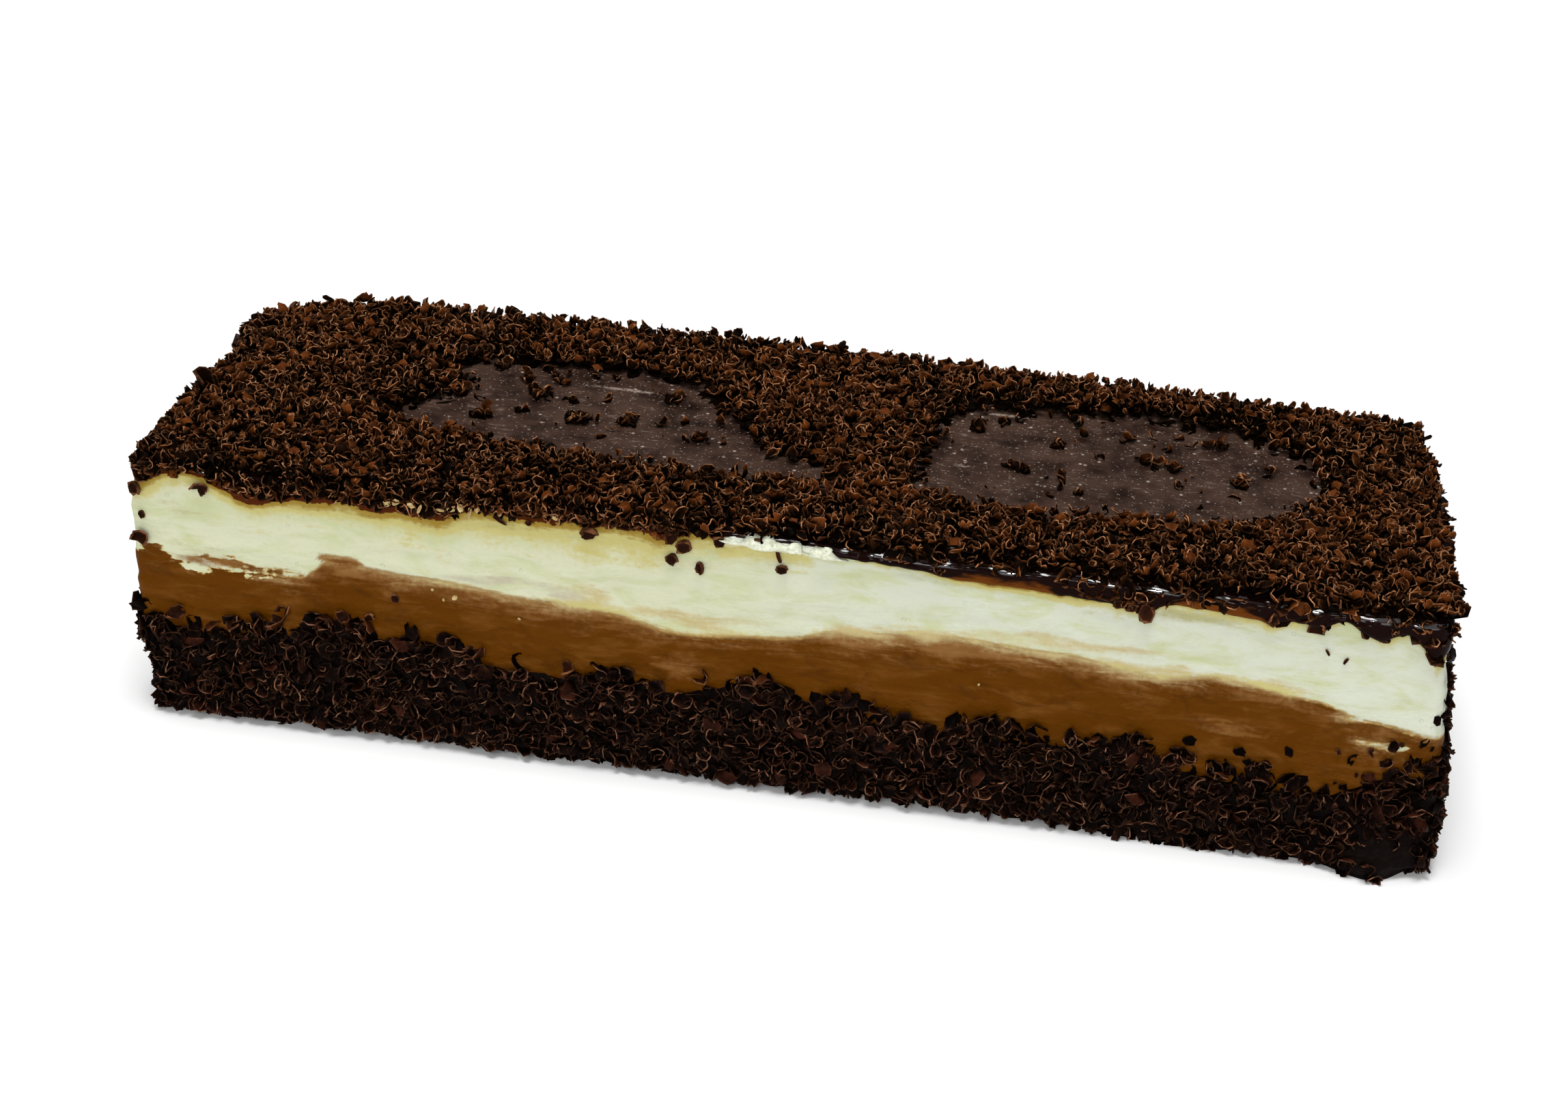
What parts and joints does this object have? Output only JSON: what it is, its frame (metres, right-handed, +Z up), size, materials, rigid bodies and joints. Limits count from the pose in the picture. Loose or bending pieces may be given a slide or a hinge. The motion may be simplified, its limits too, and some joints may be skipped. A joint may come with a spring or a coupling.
{
  "type": "cheesecake",
  "caption": "Layered cheesecake bar with white and mocha creams on a dark flake-coated base, under a dark glaze with chocolate flakes.",
  "frame": {"origin": "middle of the underside of the cake", "axes": "+X along the bar, +Y away from the cut front, +Z up"},
  "size_m": [0.3114, 0.1056, 0.0741],
  "materials": {
    "flake_coat": "dark chocolate flakes pressed onto a dark base, dull with paler rims",
    "mocha_cream": "brown mocha cream smeared smooth, softly glossy",
    "white_cream": "white cheese cream smeared smooth, with faint trowel marks",
    "glaze": "dark chocolate glaze, glossy at its rim and coated with flakes"
  },
  "bodies": {
    "root": {"flake_base": "flake_coat", "mocha_cream": "mocha_cream", "white_cream": "white_cream", "chocolate_glaze": "glaze"}
  },
  "joints": []
}
